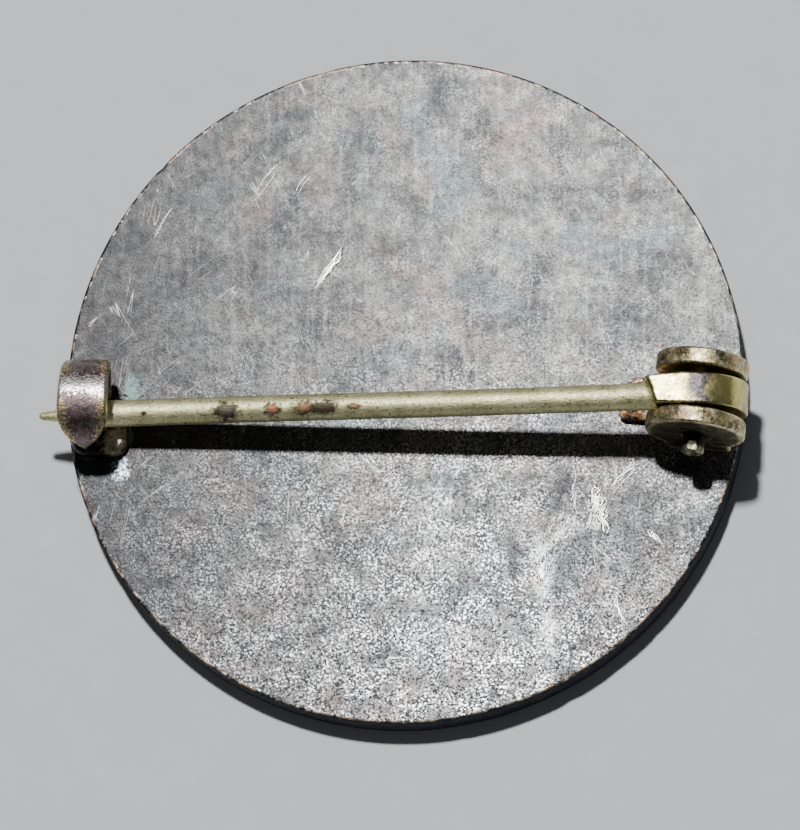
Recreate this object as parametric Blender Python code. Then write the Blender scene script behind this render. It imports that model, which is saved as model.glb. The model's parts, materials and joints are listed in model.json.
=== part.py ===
"""Round metal badge with a hinged pin on its back.

The badge lies face down: its front face rests on Z = 0 and the pin back is on top.
The origin is the centre of the front face, X runs from the catch to the hinge, and
Y runs along the hinge. Lengths are in metres, through the constant MM.
"""

import math

import bmesh
import bpy
from mathutils import Matrix, Vector

MM = 0.001

# Fits
SEAT_GAP = 0.03 * MM  # between two pieces that touch
RUNNING_GAP = 0.06 * MM  # radial, between the rivet and the knuckle that turns on it

# Disc
DISC_RADIUS = 17.5 * MM
DISC_THICKNESS = 2.1 * MM
DISC_EDGE_ROUND = 0.15 * MM
FRONT_RIM_WIDTH = 1.4 * MM
FRONT_BOSS_RADIUS = 5.5 * MM
FRONT_FIELD_DEPTH = 0.4 * MM
FRONT_STEP_SLOPE = 0.25 * MM
BACK = DISC_THICKNESS  # height of the back face, on which the pin back is soldered

# Solder under both brackets
SOLDER_THICKNESS = 0.09 * MM
SOLDER_MARGIN = 0.25 * MM
BRACKET_FOOT = BACK + SOLDER_THICKNESS + 2 * SEAT_GAP  # underside of a soldered bracket

# Hinge: its axis lies along the rivet, a few degrees out of square with the pin.
# The ears are skewed about Z and lean over about X together, as on a bent bracket.
HINGE_HEIGHT = 3.2 * MM  # of the axis above the back
HINGE_CENTRE = Vector((15.35 * MM, -1.505 * MM, BACK + HINGE_HEIGHT))
HINGE_SKEW = math.radians(-7)
HINGE_LEAN = math.radians(-3)
EAR_GAP = 2.27 * MM
EAR_THICKNESS = 0.88 * MM
EAR_RADII = {-1: 2.54 * MM, 1: 2.36 * MM}
EAR_OFFSET = -0.03 * MM
EAR_NECK_WIDTH = 3.4 * MM
EAR_EDGE = 0.08 * MM
HINGE_BASE_THICKNESS = 0.49 * MM
HINGE_BASE_LENGTH = 3.6 * MM
HINGE_BASE_NOTCH = 0.3 * MM  # cut off every corner of the base
HINGE_BASE_SHORT = 0.1 * MM  # the base stops this much short at the rim of the disc
HINGE_BASE_EDGE = 0.06 * MM
TONGUE_REACH = 4.2 * MM  # from the hinge axis to the free end of the tongue
TONGUE_LOW = -0.75 * MM
TONGUE_HIGH = 1.45 * MM
RIVET_RADIUS = 0.55 * MM
RIVET_TAIL = 1.0 * MM  # stands out of the lower ear
RIVET_HEAD = 0.3 * MM  # stands out of the upper ear
RIVET_CROWN = 0.12 * MM

# Pin: a round wire brazed to a knuckle that turns on the rivet
KNUCKLE_RADIUS = 2.5 * MM
KNUCKLE_WIDTH = 1.61 * MM
KNUCKLE_REACH = 2.37 * MM  # from the hinge axis to the face that the wire butts against
KNUCKLE_SHIFT = -0.09 * MM  # along the rivet, off the middle of the ears
KNUCKLE_SKEW = math.radians(-2.5)
KNUCKLE_LEAN = math.radians(-1)
KNUCKLE_EDGE = 0.08 * MM
WIRE_RADIUS = 0.685 * MM
WIRE_Y_AT_KNUCKLE = -1.79 * MM
PIN_TIP = Vector((-18.69 * MM, -1.43 * MM, BACK + 1.72 * MM))
WIRE_BELOW_KNUCKLE_TOP = 0.02 * MM
WIRE_BUTT_GAP = 0.08 * MM
PIN_POINT_LENGTH = 3.4 * MM
PIN_TIP_RADIUS = 0.17 * MM
PIN_END_RADIUS = 0.04 * MM  # of the flat that closes the rounded tip

# Catch: a strip that rises from a thick base and curls over the pin
HOOK_RADIUS = 2.31 * MM  # outside of the curl
HOOK_STRIP = 0.6 * MM
HOOK_CENTRE = Vector((-16.1 * MM, -1.05 * MM, BACK + 2.5 * MM))
HOOK_WIDTH = 2.57 * MM
HOOK_ROOT_WIDTH = 2.1 * MM
HOOK_START = math.radians(-72)
HOOK_END = math.radians(182)
HOOK_TIP_TAPER = math.radians(62)
HOOK_TIP_SHARE = 0.12  # width left at the very tip, as a share of the full width
CATCH_BASE_THICKNESS = 0.8 * MM
CATCH_BASE_MIN = Vector((-17.15 * MM, -3.3 * MM))
CATCH_BASE_MAX = Vector((-14.22 * MM, -0.16 * MM))
CATCH_BASE_CORNER = 0.75 * MM
CATCH_BASE_EDGE = 0.3 * MM
CATCH_SOLDER_OUTSIDE = 0.1 * MM  # margin of solder on the side of the disc's edge


def clear_scene():
    for old in list(bpy.data.objects):
        bpy.data.objects.remove(old)


def metal(name, colour, roughness, metallic=1.0):
    made = bpy.data.materials.new(name)
    made.use_nodes = True
    shader = made.node_tree.nodes["Principled BSDF"]
    shader.inputs["Base Color"].default_value = (*colour, 1.0)
    shader.inputs["Roughness"].default_value = roughness
    shader.inputs["Metallic"].default_value = metallic
    made.diffuse_color = (*colour, 1.0)
    return made


def finish_object(name, shape, material, matrix=None, parent=None):
    """Turn a bmesh into a named object with outward faces and smooth round stretches."""
    bmesh.ops.recalc_face_normals(shape, faces=shape.faces)
    mesh = bpy.data.meshes.new(name)
    shape.to_mesh(mesh)
    shape.free()
    mesh.shade_smooth()
    mesh.set_sharp_from_angle(angle=math.radians(30))
    if material is not None:
        mesh.materials.append(material)
    made = bpy.data.objects.new(name, mesh)
    bpy.context.collection.objects.link(made)
    made.parent = parent
    if matrix is not None:
        made.matrix_local = matrix
    return made


def cut_with(target, tool, operation):
    """Combine target with a hidden tool object through an exact Boolean."""
    tool.hide_render = True
    tool.display_type = "WIRE"
    boolean = target.modifiers.new(tool.name, "BOOLEAN")
    boolean.operation = operation
    boolean.solver = "EXACT"
    boolean.object = tool


def arc(centre, radius, start, end, steps):
    """Points on a circle from the start angle to the end angle, both included."""
    angles = [start + (end - start) * k / steps for k in range(steps + 1)]
    return [(centre[0] + radius * math.cos(a), centre[1] + radius * math.sin(a)) for a in angles]


def rounded_rectangle(low, high, corner, steps=6):
    quarter = math.pi / 2
    centres = [
        (high[0] - corner, high[1] - corner),
        (low[0] + corner, high[1] - corner),
        (low[0] + corner, low[1] + corner),
        (high[0] - corner, low[1] + corner),
    ]
    points = []
    for k, centre in enumerate(centres):
        points += arc(centre, corner, k * quarter, (k + 1) * quarter, steps)
    return points


def plate(outline, low, high, edge=0.0, edge_steps=2):
    """Extrude an outline from one height to another, along Z, with rounded edges."""
    shape = bmesh.new()
    bottom = shape.faces.new([shape.verts.new((x, y, low)) for x, y in outline])
    grown = bmesh.ops.extrude_face_region(shape, geom=[bottom])
    moved = [item for item in grown["geom"] if isinstance(item, bmesh.types.BMVert)]
    bmesh.ops.translate(shape, verts=moved, vec=(0, 0, high - low))
    if edge:
        rims = [e for e in shape.edges if abs(e.verts[0].co.z - e.verts[1].co.z) < edge / 2]
        bmesh.ops.bevel(shape, geom=rims, offset=edge, segments=edge_steps, profile=0.5, affect="EDGES")
    return shape


def upright(shape):
    """Stand a plate up, so that its outline lies in XZ and its thickness runs along Y."""
    shape.transform(Matrix.Rotation(math.radians(90), 4, "X"))
    return shape


def turned(profile, segments):
    """Spin a profile of (radius, z) points, both ends on the axis, around Z."""
    shape = bmesh.new()
    verts = [shape.verts.new((r, 0, z)) for r, z in profile]
    edges = [shape.edges.new(pair) for pair in zip(verts, verts[1:])]
    bmesh.ops.spin(
        shape, geom=verts + edges, cent=(0, 0, 0), axis=(0, 0, 1), angle=math.tau, steps=segments, use_merge=True
    )
    bmesh.ops.remove_doubles(shape, verts=shape.verts, dist=0.001 * MM)
    return shape


def lofted(rings):
    """Skin a row of point rings, each with the same number of points, and cap both ends."""
    shape = bmesh.new()
    rows = [[shape.verts.new(point) for point in ring] for ring in rings]
    for near, far in zip(rows, rows[1:]):
        for k in range(len(near)):
            after = (k + 1) % len(near)
            shape.faces.new((near[k], near[after], far[after], far[k]))
    shape.faces.new(rows[0][::-1])
    shape.faces.new(rows[-1])
    return shape


def turned_out(skew, lean):
    """Rotation of a piece by its skew about Z and its lean about X."""
    return Matrix.Rotation(skew, 4, "Z") @ Matrix.Rotation(lean, 4, "X")


def hinge_frame():
    """Placement of a piece drawn around the hinge centre, with Y along the hinge axis."""
    return Matrix.Translation(HINGE_CENTRE) @ turned_out(HINGE_SKEW, HINGE_LEAN)


def badge_disc(material):
    """Thick disc: plain back, and a front with a raised rim and a centre boss."""
    quarter = math.pi / 2
    inner = DISC_RADIUS - DISC_EDGE_ROUND
    back_edge = arc((inner, BACK - DISC_EDGE_ROUND), DISC_EDGE_ROUND, quarter, 0, 3)
    front_edge = arc((inner, DISC_EDGE_ROUND), DISC_EDGE_ROUND, 0, -quarter, 3)
    rim_inside = DISC_RADIUS - FRONT_RIM_WIDTH
    front_steps = [
        (rim_inside, 0),
        (rim_inside - FRONT_STEP_SLOPE, FRONT_FIELD_DEPTH),
        (FRONT_BOSS_RADIUS + FRONT_STEP_SLOPE, FRONT_FIELD_DEPTH),
        (FRONT_BOSS_RADIUS, 0),
    ]
    profile = [(0, BACK)] + back_edge + front_edge + front_steps + [(0, 0)]
    return finish_object("badge_disc", turned(profile, 96), material)


def solder_pad(name, outline, matrix, material):
    """Thin layer of solder that shows as a margin around a bracket."""
    low = BACK + SEAT_GAP
    shape = plate(outline, low, low + SOLDER_THICKNESS, SOLDER_THICKNESS * 0.4, 1)
    return finish_object(name, shape, material, matrix)


def hinge_foot_frame():
    """Flat frame on the ground under the ears' feet, which the lean sets off to one side."""
    foot_shift = Matrix.Translation((0, HINGE_HEIGHT * math.sin(HINGE_LEAN), 0))
    ground = Matrix.Translation((HINGE_CENTRE.x, HINGE_CENTRE.y, 0))
    return ground @ Matrix.Rotation(HINGE_SKEW, 4, "Z") @ foot_shift


def hinge_base_outline(margin=0.0):
    """Bracket base under both ears, with a tongue that reaches out below the pin."""
    half_width = EAR_GAP / 2 + EAR_THICKNESS + margin
    right = HINGE_BASE_LENGTH / 2 - HINGE_BASE_SHORT + margin * 0.4
    left = -HINGE_BASE_LENGTH / 2 - margin
    tip = -TONGUE_REACH - margin
    low = TONGUE_LOW - margin
    high = TONGUE_HIGH + margin
    notch = HINGE_BASE_NOTCH
    return [
        (right, -half_width + notch),
        (right, half_width - notch),
        (right - notch, half_width),
        (left + notch, half_width),
        (left, half_width - notch),
        (left, high),
        (tip + 2.5 * notch, high),
        (tip, high - 2 * notch),
        (tip, low + notch / 2),
        (tip + notch / 2, low),
        (left, low),
        (left, -half_width + notch),
        (left + notch, -half_width),
        (right - notch, -half_width),
    ]


def ear_outline(radius):
    """Round ear whose neck runs down into the bracket base."""
    floor = BRACKET_FOOT + HINGE_BASE_THICKNESS / 2 - HINGE_CENTRE.z
    half_neck = EAR_NECK_WIDTH / 2
    neck_angle = math.acos(half_neck / radius)
    head = arc((EAR_OFFSET, 0), radius, -neck_angle, math.pi + neck_angle, 40)
    return [(EAR_OFFSET + half_neck, floor)] + head + [(EAR_OFFSET - half_neck, floor)]


def rivet_bore(name, radius):
    """Cutter for a round hole along the hinge axis."""
    length = EAR_GAP + 4 * EAR_THICKNESS
    outline = arc((0, 0), radius, 0, math.tau * 31 / 32, 31)
    shape = upright(plate(outline, -length / 2, length / 2))
    return finish_object(name, shape, None, hinge_frame())


def hinge_bracket(material):
    """Base with a tongue, and two round ears with a bore for the rivet."""
    base = plate(hinge_base_outline(), BRACKET_FOOT, BRACKET_FOOT + HINGE_BASE_THICKNESS, HINGE_BASE_EDGE, 1)
    bracket = finish_object("hinge_bracket", base, material, hinge_foot_frame())
    for side, radius in EAR_RADII.items():
        inner = side * EAR_GAP / 2
        outer = inner + side * EAR_THICKNESS
        # upright() turns heights along Z into places along -Y
        low, high = sorted((-inner, -outer))
        ear = upright(plate(ear_outline(radius), low, high, EAR_EDGE, 1))
        cut_with(bracket, finish_object(f"ear_{side}", ear, None, hinge_frame()), "UNION")
    cut_with(bracket, rivet_bore("ear_bore", RIVET_RADIUS + SEAT_GAP), "DIFFERENCE")
    return bracket


def hinge_rivet(material):
    """Plain rivet through both ears, with a domed tail standing out of the lower one."""
    half_span = EAR_GAP / 2 + EAR_THICKNESS
    top = half_span + RIVET_HEAD
    bottom = -half_span - RIVET_TAIL
    profile = [
        (0, top),
        (RIVET_RADIUS - RIVET_CROWN, top),
        (RIVET_RADIUS, top - RIVET_CROWN),
        (RIVET_RADIUS, bottom + RIVET_CROWN),
        (RIVET_RADIUS - RIVET_CROWN, bottom + RIVET_CROWN / 3),
        (0, bottom),
    ]
    shape = turned(profile, 32)
    shape.transform(Matrix.Rotation(math.radians(-90), 4, "X"))
    return finish_object("hinge_rivet", shape, material, hinge_frame())


def pin_knuckle(material, axis):
    """Round knuckle with one square corner, level with the top of the wire."""
    tilt = turned_out(KNUCKLE_SKEW, KNUCKLE_LEAN)
    chord = math.acos(KNUCKLE_REACH / KNUCKLE_RADIUS)
    outline = arc((0, 0), KNUCKLE_RADIUS, math.pi / 2, -math.pi + chord, 44)
    outline.append((-KNUCKLE_REACH, KNUCKLE_RADIUS))
    middle = -KNUCKLE_SHIFT
    shape = plate(outline[::-1], middle - KNUCKLE_WIDTH / 2, middle + KNUCKLE_WIDTH / 2, KNUCKLE_EDGE, 2)
    knuckle = finish_object("pin_knuckle", upright(shape), material, tilt, axis)
    bore = rivet_bore("knuckle_bore", RIVET_RADIUS + RUNNING_GAP)
    cut_with(knuckle, bore, "DIFFERENCE")
    return knuckle


def point_radius(distance):
    """Radius of the wire at a distance from its tip: a straight taper with a round tip."""
    tapered = PIN_TIP_RADIUS + (WIRE_RADIUS - PIN_TIP_RADIUS) * min(1, distance / PIN_POINT_LENGTH)
    short = max(0, 1 - distance / PIN_TIP_RADIUS)
    return max(PIN_END_RADIUS, tapered * math.sqrt(1 - short**2))


def pin_stem(material, axis):
    """Straight wire from the knuckle to the point."""
    start = Vector((
        HINGE_CENTRE.x - KNUCKLE_REACH - WIRE_BUTT_GAP,
        WIRE_Y_AT_KNUCKLE,
        HINGE_CENTRE.z + KNUCKLE_RADIUS - WIRE_RADIUS - WIRE_BELOW_KNUCKLE_TOP,
    ))
    along = PIN_TIP - start
    length = along.length
    shank = length - PIN_POINT_LENGTH
    stations = [shank * k / 8 for k in range(9)]
    stations += [length - PIN_POINT_LENGTH * share for share in (0.7, 0.4, 0.15, 0.06, 0.04, 0.025, 0.01, 0)]
    rings = []
    for station in stations:
        radius = point_radius(length - station)
        rings.append([(station, x, y) for x, y in arc((0, 0), radius, 0, math.tau * 23 / 24, 23)])
    turn = along.to_track_quat("X", "Z").to_matrix().to_4x4()
    matrix = Matrix.Translation(start - HINGE_CENTRE) @ turn
    return finish_object("pin_stem", lofted(rings), material, matrix, axis)


def hook_width(angle):
    """Width of the strip along its curl: narrow root, full middle, rounded tip."""
    if angle < math.pi / 2:
        share = (angle - HOOK_START) / (math.pi / 2 - HOOK_START)
        return HOOK_ROOT_WIDTH + (HOOK_WIDTH - HOOK_ROOT_WIDTH) * math.sin(share * math.pi / 2)
    left = (HOOK_END - angle) / HOOK_TIP_TAPER
    if left >= 1:
        return HOOK_WIDTH
    return HOOK_WIDTH * max(HOOK_TIP_SHARE, 1 - (1 - left) ** 1.5)


def catch(material):
    """C-shaped catch: a thick base with a strip that curls from it over the pin."""
    top = BRACKET_FOOT + CATCH_BASE_THICKNESS
    outline = rounded_rectangle(CATCH_BASE_MIN, CATCH_BASE_MAX, CATCH_BASE_CORNER)
    made = finish_object("catch", plate(outline, BRACKET_FOOT, top, CATCH_BASE_EDGE, 2), material)
    steps = 40
    rings = []
    for k in range(steps + 1):
        angle = HOOK_START + (HOOK_END - HOOK_START) * k / steps
        half = hook_width(angle) / 2
        inner = HOOK_RADIUS - HOOK_STRIP
        corners = [(-half, inner), (half, inner), (half, HOOK_RADIUS), (-half, HOOK_RADIUS)]
        rings.append([(x, r * math.cos(angle), r * math.sin(angle)) for x, r in corners])
    strip = finish_object("hook_strip", lofted(rings), None, Matrix.Translation(HOOK_CENTRE))
    cut_with(made, strip, "UNION")
    return made


def build():
    clear_scene()
    copper_dark = metal("badge_copper", (0.17, 0.16, 0.16), 0.5)
    brass = metal("hinge_brass", (0.42, 0.33, 0.16), 0.4)
    knuckle_brass = metal("knuckle_brass", (0.5, 0.44, 0.22), 0.35)
    wire_brass = metal("pin_brass", (0.36, 0.33, 0.17), 0.4)
    worn_nickel = metal("catch_plating", (0.42, 0.37, 0.33), 0.32)
    steel = metal("rivet_steel", (0.45, 0.45, 0.38), 0.4)
    tin = metal("solder_tin", (0.42, 0.46, 0.48), 0.45)

    badge_disc(copper_dark)
    margin = Vector((SOLDER_MARGIN, SOLDER_MARGIN))
    catch_low = CATCH_BASE_MIN - Vector((CATCH_SOLDER_OUTSIDE, margin.y))
    catch_pad = rounded_rectangle(catch_low, CATCH_BASE_MAX + margin, CATCH_BASE_CORNER + SOLDER_MARGIN)
    solder_pad("catch_solder", catch_pad, Matrix.Identity(4), tin)
    catch(worn_nickel)
    solder_pad("hinge_solder", hinge_base_outline(SOLDER_MARGIN), hinge_foot_frame(), tin)
    hinge_bracket(brass)
    hinge_rivet(steel)

    pin_axis = bpy.data.objects.new("pin_swing_axis", None)
    pin_axis.location = HINGE_CENTRE
    bpy.context.collection.objects.link(pin_axis)
    pin_knuckle(knuckle_brass, pin_axis)
    pin_stem(wire_brass, pin_axis)


build()
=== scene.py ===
"""Looks of a round metal badge with a hinged pin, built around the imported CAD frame.

The badge lies face down with the pin on top. X runs from the catch to the hinge and Y
runs along the hinge. Every piece is a mesh made here, and every finish is made of nodes.
"""

import json
import math
import random

import bmesh
import bpy
from mathutils import Matrix, Vector, noise


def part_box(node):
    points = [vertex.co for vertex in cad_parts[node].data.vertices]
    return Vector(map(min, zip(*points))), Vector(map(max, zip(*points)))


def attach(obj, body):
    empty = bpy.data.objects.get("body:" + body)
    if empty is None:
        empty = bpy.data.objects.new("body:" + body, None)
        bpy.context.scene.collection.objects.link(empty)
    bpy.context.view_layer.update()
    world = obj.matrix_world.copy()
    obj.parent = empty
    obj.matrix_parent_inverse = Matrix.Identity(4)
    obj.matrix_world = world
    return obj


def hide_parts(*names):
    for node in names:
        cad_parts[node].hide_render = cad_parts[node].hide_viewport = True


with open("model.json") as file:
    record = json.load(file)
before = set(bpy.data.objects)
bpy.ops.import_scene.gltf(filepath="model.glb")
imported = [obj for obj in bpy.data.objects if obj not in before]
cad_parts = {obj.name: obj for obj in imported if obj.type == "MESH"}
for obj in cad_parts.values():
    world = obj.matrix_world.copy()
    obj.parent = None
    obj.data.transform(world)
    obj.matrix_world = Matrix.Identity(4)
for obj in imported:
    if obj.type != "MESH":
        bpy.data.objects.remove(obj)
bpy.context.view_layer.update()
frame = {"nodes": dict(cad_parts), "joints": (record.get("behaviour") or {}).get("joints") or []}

MM = 0.001
QUARTER = math.pi / 2

# Sockets of Blender's nodes that share a name with others, by number
NOISE_COLOUR = 1
ATTRIBUTE_VALUE = 2
MIX_SHARE = 0
MIX_FIRST = 6
MIX_SECOND = 7
MIX_COLOUR = 2

# Disc
DISC_LOW, DISC_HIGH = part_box("badge_disc")
DISC_RADIUS = (DISC_HIGH.x - DISC_LOW.x) / 2
BACK = DISC_HIGH.z
DISC_EDGE_ROUND = 0.15 * MM
DISC_SEGMENTS = 288
RIM_WIDTH = 1.4 * MM
BOSS_RADIUS = 5.5 * MM
FIELD_DEPTH = 0.4 * MM
FIELD_SLOPE = 0.25 * MM
STEP_RUN = 0.1 * MM  # width of the rounding at each step on the front
STEP_DROP = 0.04 * MM  # its depth at the top of the step
STEP_RISE = 0.03 * MM  # and at the foot
INNERMOST = 0.05 * MM  # radius of the rings that are capped

# Hinge: everything on it is drawn around the joint, with Y along the rivet
JOINT = frame["joints"][0]
HINGE_CENTRE = Vector(JOINT["pos_m"])
HINGE_AXIS = Vector(JOINT["axis"]).normalized()
HINGE_LEAN = math.asin(HINGE_AXIS.z)
HINGE_SKEW = -math.asin(HINGE_AXIS.x / math.cos(HINGE_LEAN))
BRACKET_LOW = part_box("hinge_bracket")[0]
BASE_THICKNESS = 0.49 * MM
BASE_LENGTH = 3.6 * MM
TONGUE_REACH = 4.2 * MM
TONGUE_LOW = -0.75 * MM
TONGUE_HIGH = 1.45 * MM
EAR_GAP = 2.27 * MM
EAR_THICKNESS = 0.88 * MM
LOWER_EAR_RADIUS = 2.54 * MM
UPPER_EAR_RADIUS = 2.36 * MM
EAR_NECK_WIDTH = 3.4 * MM
RIVET_RADIUS = 0.55 * MM
RIVET_TAIL = 1.0 * MM
RIVET_HEAD = 0.3 * MM
SEAT_GAP = 0.03 * MM
RUNNING_GAP = 0.06 * MM

# Pin
KNUCKLE_RADIUS = 2.5 * MM
KNUCKLE_WIDTH = 1.61 * MM
KNUCKLE_REACH = 2.37 * MM
KNUCKLE_SHIFT = -0.09 * MM
WIRE_OVERLAP = 0.22 * MM  # how far the wire runs past the face that it butts against
BUTT_SLANT = 0.35  # slope of that face
KNUCKLE_TURN = (math.radians(-2.5), math.radians(-1))  # skew and lean
WIRE_RADIUS = 0.685 * MM
POINT_LENGTH = 3.4 * MM
TIP_RADIUS = 0.17 * MM

# Catch
CATCH_LOW, CATCH_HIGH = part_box("catch")
HOOK_RADIUS = (CATCH_HIGH.y - CATCH_LOW.y) / 2
HOOK_CENTRE = Vector((-16.1 * MM, (CATCH_HIGH.y + CATCH_LOW.y) / 2, CATCH_HIGH.z - HOOK_RADIUS))
HOOK_STRIP = 0.6 * MM
HOOK_WIDTH = 2.57 * MM
HOOK_ROOT_WIDTH = 2.1 * MM
HOOK_START = math.radians(-72)
HOOK_END = math.radians(182)
HOOK_TIP_TAPER = math.radians(62)
HOOK_CROWN = 0.585  # place of the rubbed crown, as a share of the curl
CATCH_BASE_THICKNESS = 0.8 * MM
CATCH_BASE_LOW = Vector((-17.15 * MM, -3.3 * MM))
CATCH_BASE_HIGH = Vector((-14.22 * MM, -0.16 * MM))
CATCH_BASE_CORNER = 0.85 * MM


# ---------------------------------------------------------------- node materials


class Surface:
    """A metal finish being put together. Its textures work in the frame's coordinates."""

    def __init__(self, name, metallic=1.0):
        self.material = bpy.data.materials.new(name)
        self.material.use_nodes = True
        self.tree = self.material.node_tree
        self.shader = self.tree.nodes["Principled BSDF"]
        self.shader.inputs["Metallic"].default_value = metallic
        self.place = self.tree.nodes.new("ShaderNodeTexCoord").outputs["Object"]

    def feed(self, socket, value):
        """Link another node's output to a socket, or set the socket to a plain value."""
        if isinstance(value, bpy.types.NodeSocket):
            self.tree.links.new(value, socket)
        else:
            socket.default_value = value

    def add(self, kind, inputs, output=0, **settings):
        """Add a node with these inputs and settings, and return one of its outputs."""
        node = self.tree.nodes.new(kind)
        for name, value in settings.items():
            setattr(node, name, value)
        for name, value in inputs.items():
            self.feed(node.inputs[name], value)
        return node.outputs[output]

    def math(self, operation, first, second=0.0):
        return self.add("ShaderNodeMath", {0: first, 1: second}, operation=operation)

    def vector(self, operation, first, second, output=0):
        return self.add("ShaderNodeVectorMath", {0: first, 1: second}, output, operation=operation)

    def times(self, first, second):
        return self.math("MULTIPLY", first, second)

    def spread(self, value, start, end, low=0.0, high=1.0):
        """Map a value that runs from start to end onto low to high, and clamp it."""
        inputs = {"Value": value, "From Min": start, "From Max": end, "To Min": low, "To Max": high}
        return self.add("ShaderNodeMapRange", inputs)

    def grain(self, size, start=0.4, end=0.6, detail=4.0, stretch=(1, 1, 1), turn=0.0, offset=0.0):
        """Noise from 0 to 1 whose features are about this size, long where stretch is small."""
        place = self.add("ShaderNodeMapping", {"Vector": self.place, "Rotation": (0, 0, turn)})
        shift = (offset * MM,) * 3
        place = self.add("ShaderNodeMapping", {"Vector": place, "Scale": stretch, "Location": shift})
        value = self.add("ShaderNodeTexNoise", {"Vector": place, "Scale": 1 / size, "Detail": detail})
        return self.spread(value, start, end)

    def along(self, axis):
        """The place along X, Y or Z, in metres."""
        return self.add("ShaderNodeSeparateXYZ", {"Vector": self.place}, output="XYZ".index(axis))

    def near(self, centre, size, softness=0.5, stretch=(1, 1, 1), ragged=1.2):
        """1 at a point, fading to 0 over a ragged border at about this distance from it."""
        wander = {"Vector": self.place, "Scale": 2.5 / size, "Detail": 6.0}
        shift = self.add("ShaderNodeTexNoise", wander, NOISE_COLOUR)
        shift = self.vector("SUBTRACT", shift, (0.5, 0.5, 0.5))
        shift = self.vector("MULTIPLY", shift, (size * ragged,) * 3)
        place = self.vector("ADD", self.place, shift)
        place = self.vector("SUBTRACT", place, tuple(centre))
        place = self.vector("MULTIPLY", place, stretch)
        distance = self.add("ShaderNodeVectorMath", {0: place}, "Value", operation="LENGTH")
        return self.spread(distance, size * (1 - softness), size * (1 + softness), 1.0, 0.0)

    def mark(self, name):
        """A value from 0 to 1 that the mesh carries at its vertices."""
        return self.add("ShaderNodeAttribute", {}, ATTRIBUTE_VALUE, attribute_name=name)

    def mix(self, share, first, second):
        """Blend two colours, each either a colour or another node's output."""
        inputs = {MIX_SHARE: share}
        for socket, value in ((MIX_FIRST, first), (MIX_SECOND, second)):
            plain = not isinstance(value, bpy.types.NodeSocket)
            inputs[socket] = (*value, 1.0) if plain else value
        return self.add("ShaderNodeMix", inputs, MIX_COLOUR, data_type="RGBA")

    def lay(self, colour, over, where, strength=None):
        """Lay a second colour over this one, as thickly as a value from 0 to 1 says."""
        share = where if strength is None else self.times(where, strength)
        return self.mix(share, colour, over)

    def finish(self, colour, roughness, height=None, depth=0.0):
        """Wire up the shader. Height runs from 0 to 1 and stands for a relief of this depth."""
        self.tree.links.new(colour, self.shader.inputs["Base Color"])
        self.tree.links.new(roughness, self.shader.inputs["Roughness"])
        if height is not None:
            bump = self.add("ShaderNodeBump", {"Height": height, "Distance": depth, "Strength": 1.0})
            self.tree.links.new(bump, self.shader.inputs["Normal"])
        return self.material


# Pale scuffs on the back: place in mm, size in mm, and how much longer they are along Y
SCUFFS = (
    ((9.9, -6.6), 0.36, 2.0),
    ((8.2, -7.4), 0.5, 1.0),
    ((7.1, -9.6), 0.38, 3.2),
    ((7.4, -13.0), 0.38, 2.6),
)

# Hairlines on the back: heading of each set, and a shift that keeps the sets apart
HAIRLINES = ((0.2, 1), (-0.5, 7), (0.9, 13))

# Centre of a darker patch on the back
DARK_PATCH_CENTRE = Vector((11.5 * MM, -8 * MM, BACK))
VERDIGRIS = Vector((-14.1 * MM, 0.2 * MM, BACK))
TIN_SMEAR = Vector((-14.7 * MM, -3.85 * MM, BACK))


def oxide_tones(surface, left, patch):
    """Mottled oxide with green and brown tints and fine streaks, darkest towards the catch and in a patch on
    the +X, -Y side.
    """
    mottle = surface.grain(2.4 * MM, 0.36, 0.64, detail=8)
    colour = surface.mix(mottle, (0.047, 0.048, 0.05), (0.152, 0.15, 0.145))
    green = surface.grain(3 * MM, 0.52, 0.66, detail=7, offset=9)
    colour = surface.lay(colour, (0.085, 0.125, 0.13), green, 0.5)
    brown = surface.grain(3 * MM, 0.54, 0.7, detail=7, offset=23)
    colour = surface.lay(colour, (0.2, 0.145, 0.125), brown, 0.55)
    streaks = surface.grain(0.3 * MM, 0.5, 0.75, stretch=(1, 0.06, 1), offset=3)
    colour = surface.lay(colour, (0.28, 0.275, 0.27), streaks, 0.4)
    colour = surface.lay(colour, (0.03, 0.03, 0.031), left)
    return surface.lay(colour, (0.035, 0.035, 0.036), patch, 0.4)


def oxide_glints(surface, left, patch):
    """Fine specks of bare metal, in clouds. Painted highlight: they are stronger towards -Y, where the key
    light's reflection falls, and weaker towards the catch and in the darker patch.
    """
    clouds = surface.grain(1.3 * MM, 0.38, 0.62, detail=6, offset=29)
    # Painted highlight: the specks get stronger towards -Y, where the key light's reflection falls
    painted_highlight_side = surface.spread(surface.along("Y"), 3 * MM, -14 * MM, 0.12, 1.0)
    shown = surface.times(painted_highlight_side, surface.spread(clouds, 0, 1, 0.12, 1.0))
    shown = surface.times(shown, surface.spread(left, 0, 0.85, 1.0, 0.1))
    shown = surface.times(shown, surface.spread(patch, 0, 1, 1.0, 0.3))
    specks = surface.grain(0.125 * MM, 0.5, 0.58, detail=6)
    return surface.times(specks, shown)


def oxide_pits(surface):
    """Fine dark pits, deepest towards -Y."""
    pits = surface.grain(0.13 * MM, 0.48, 0.42, detail=6, offset=5)
    return surface.times(pits, surface.spread(surface.along("Y"), 8 * MM, -14 * MM, 0.45, 1.0))


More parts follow.
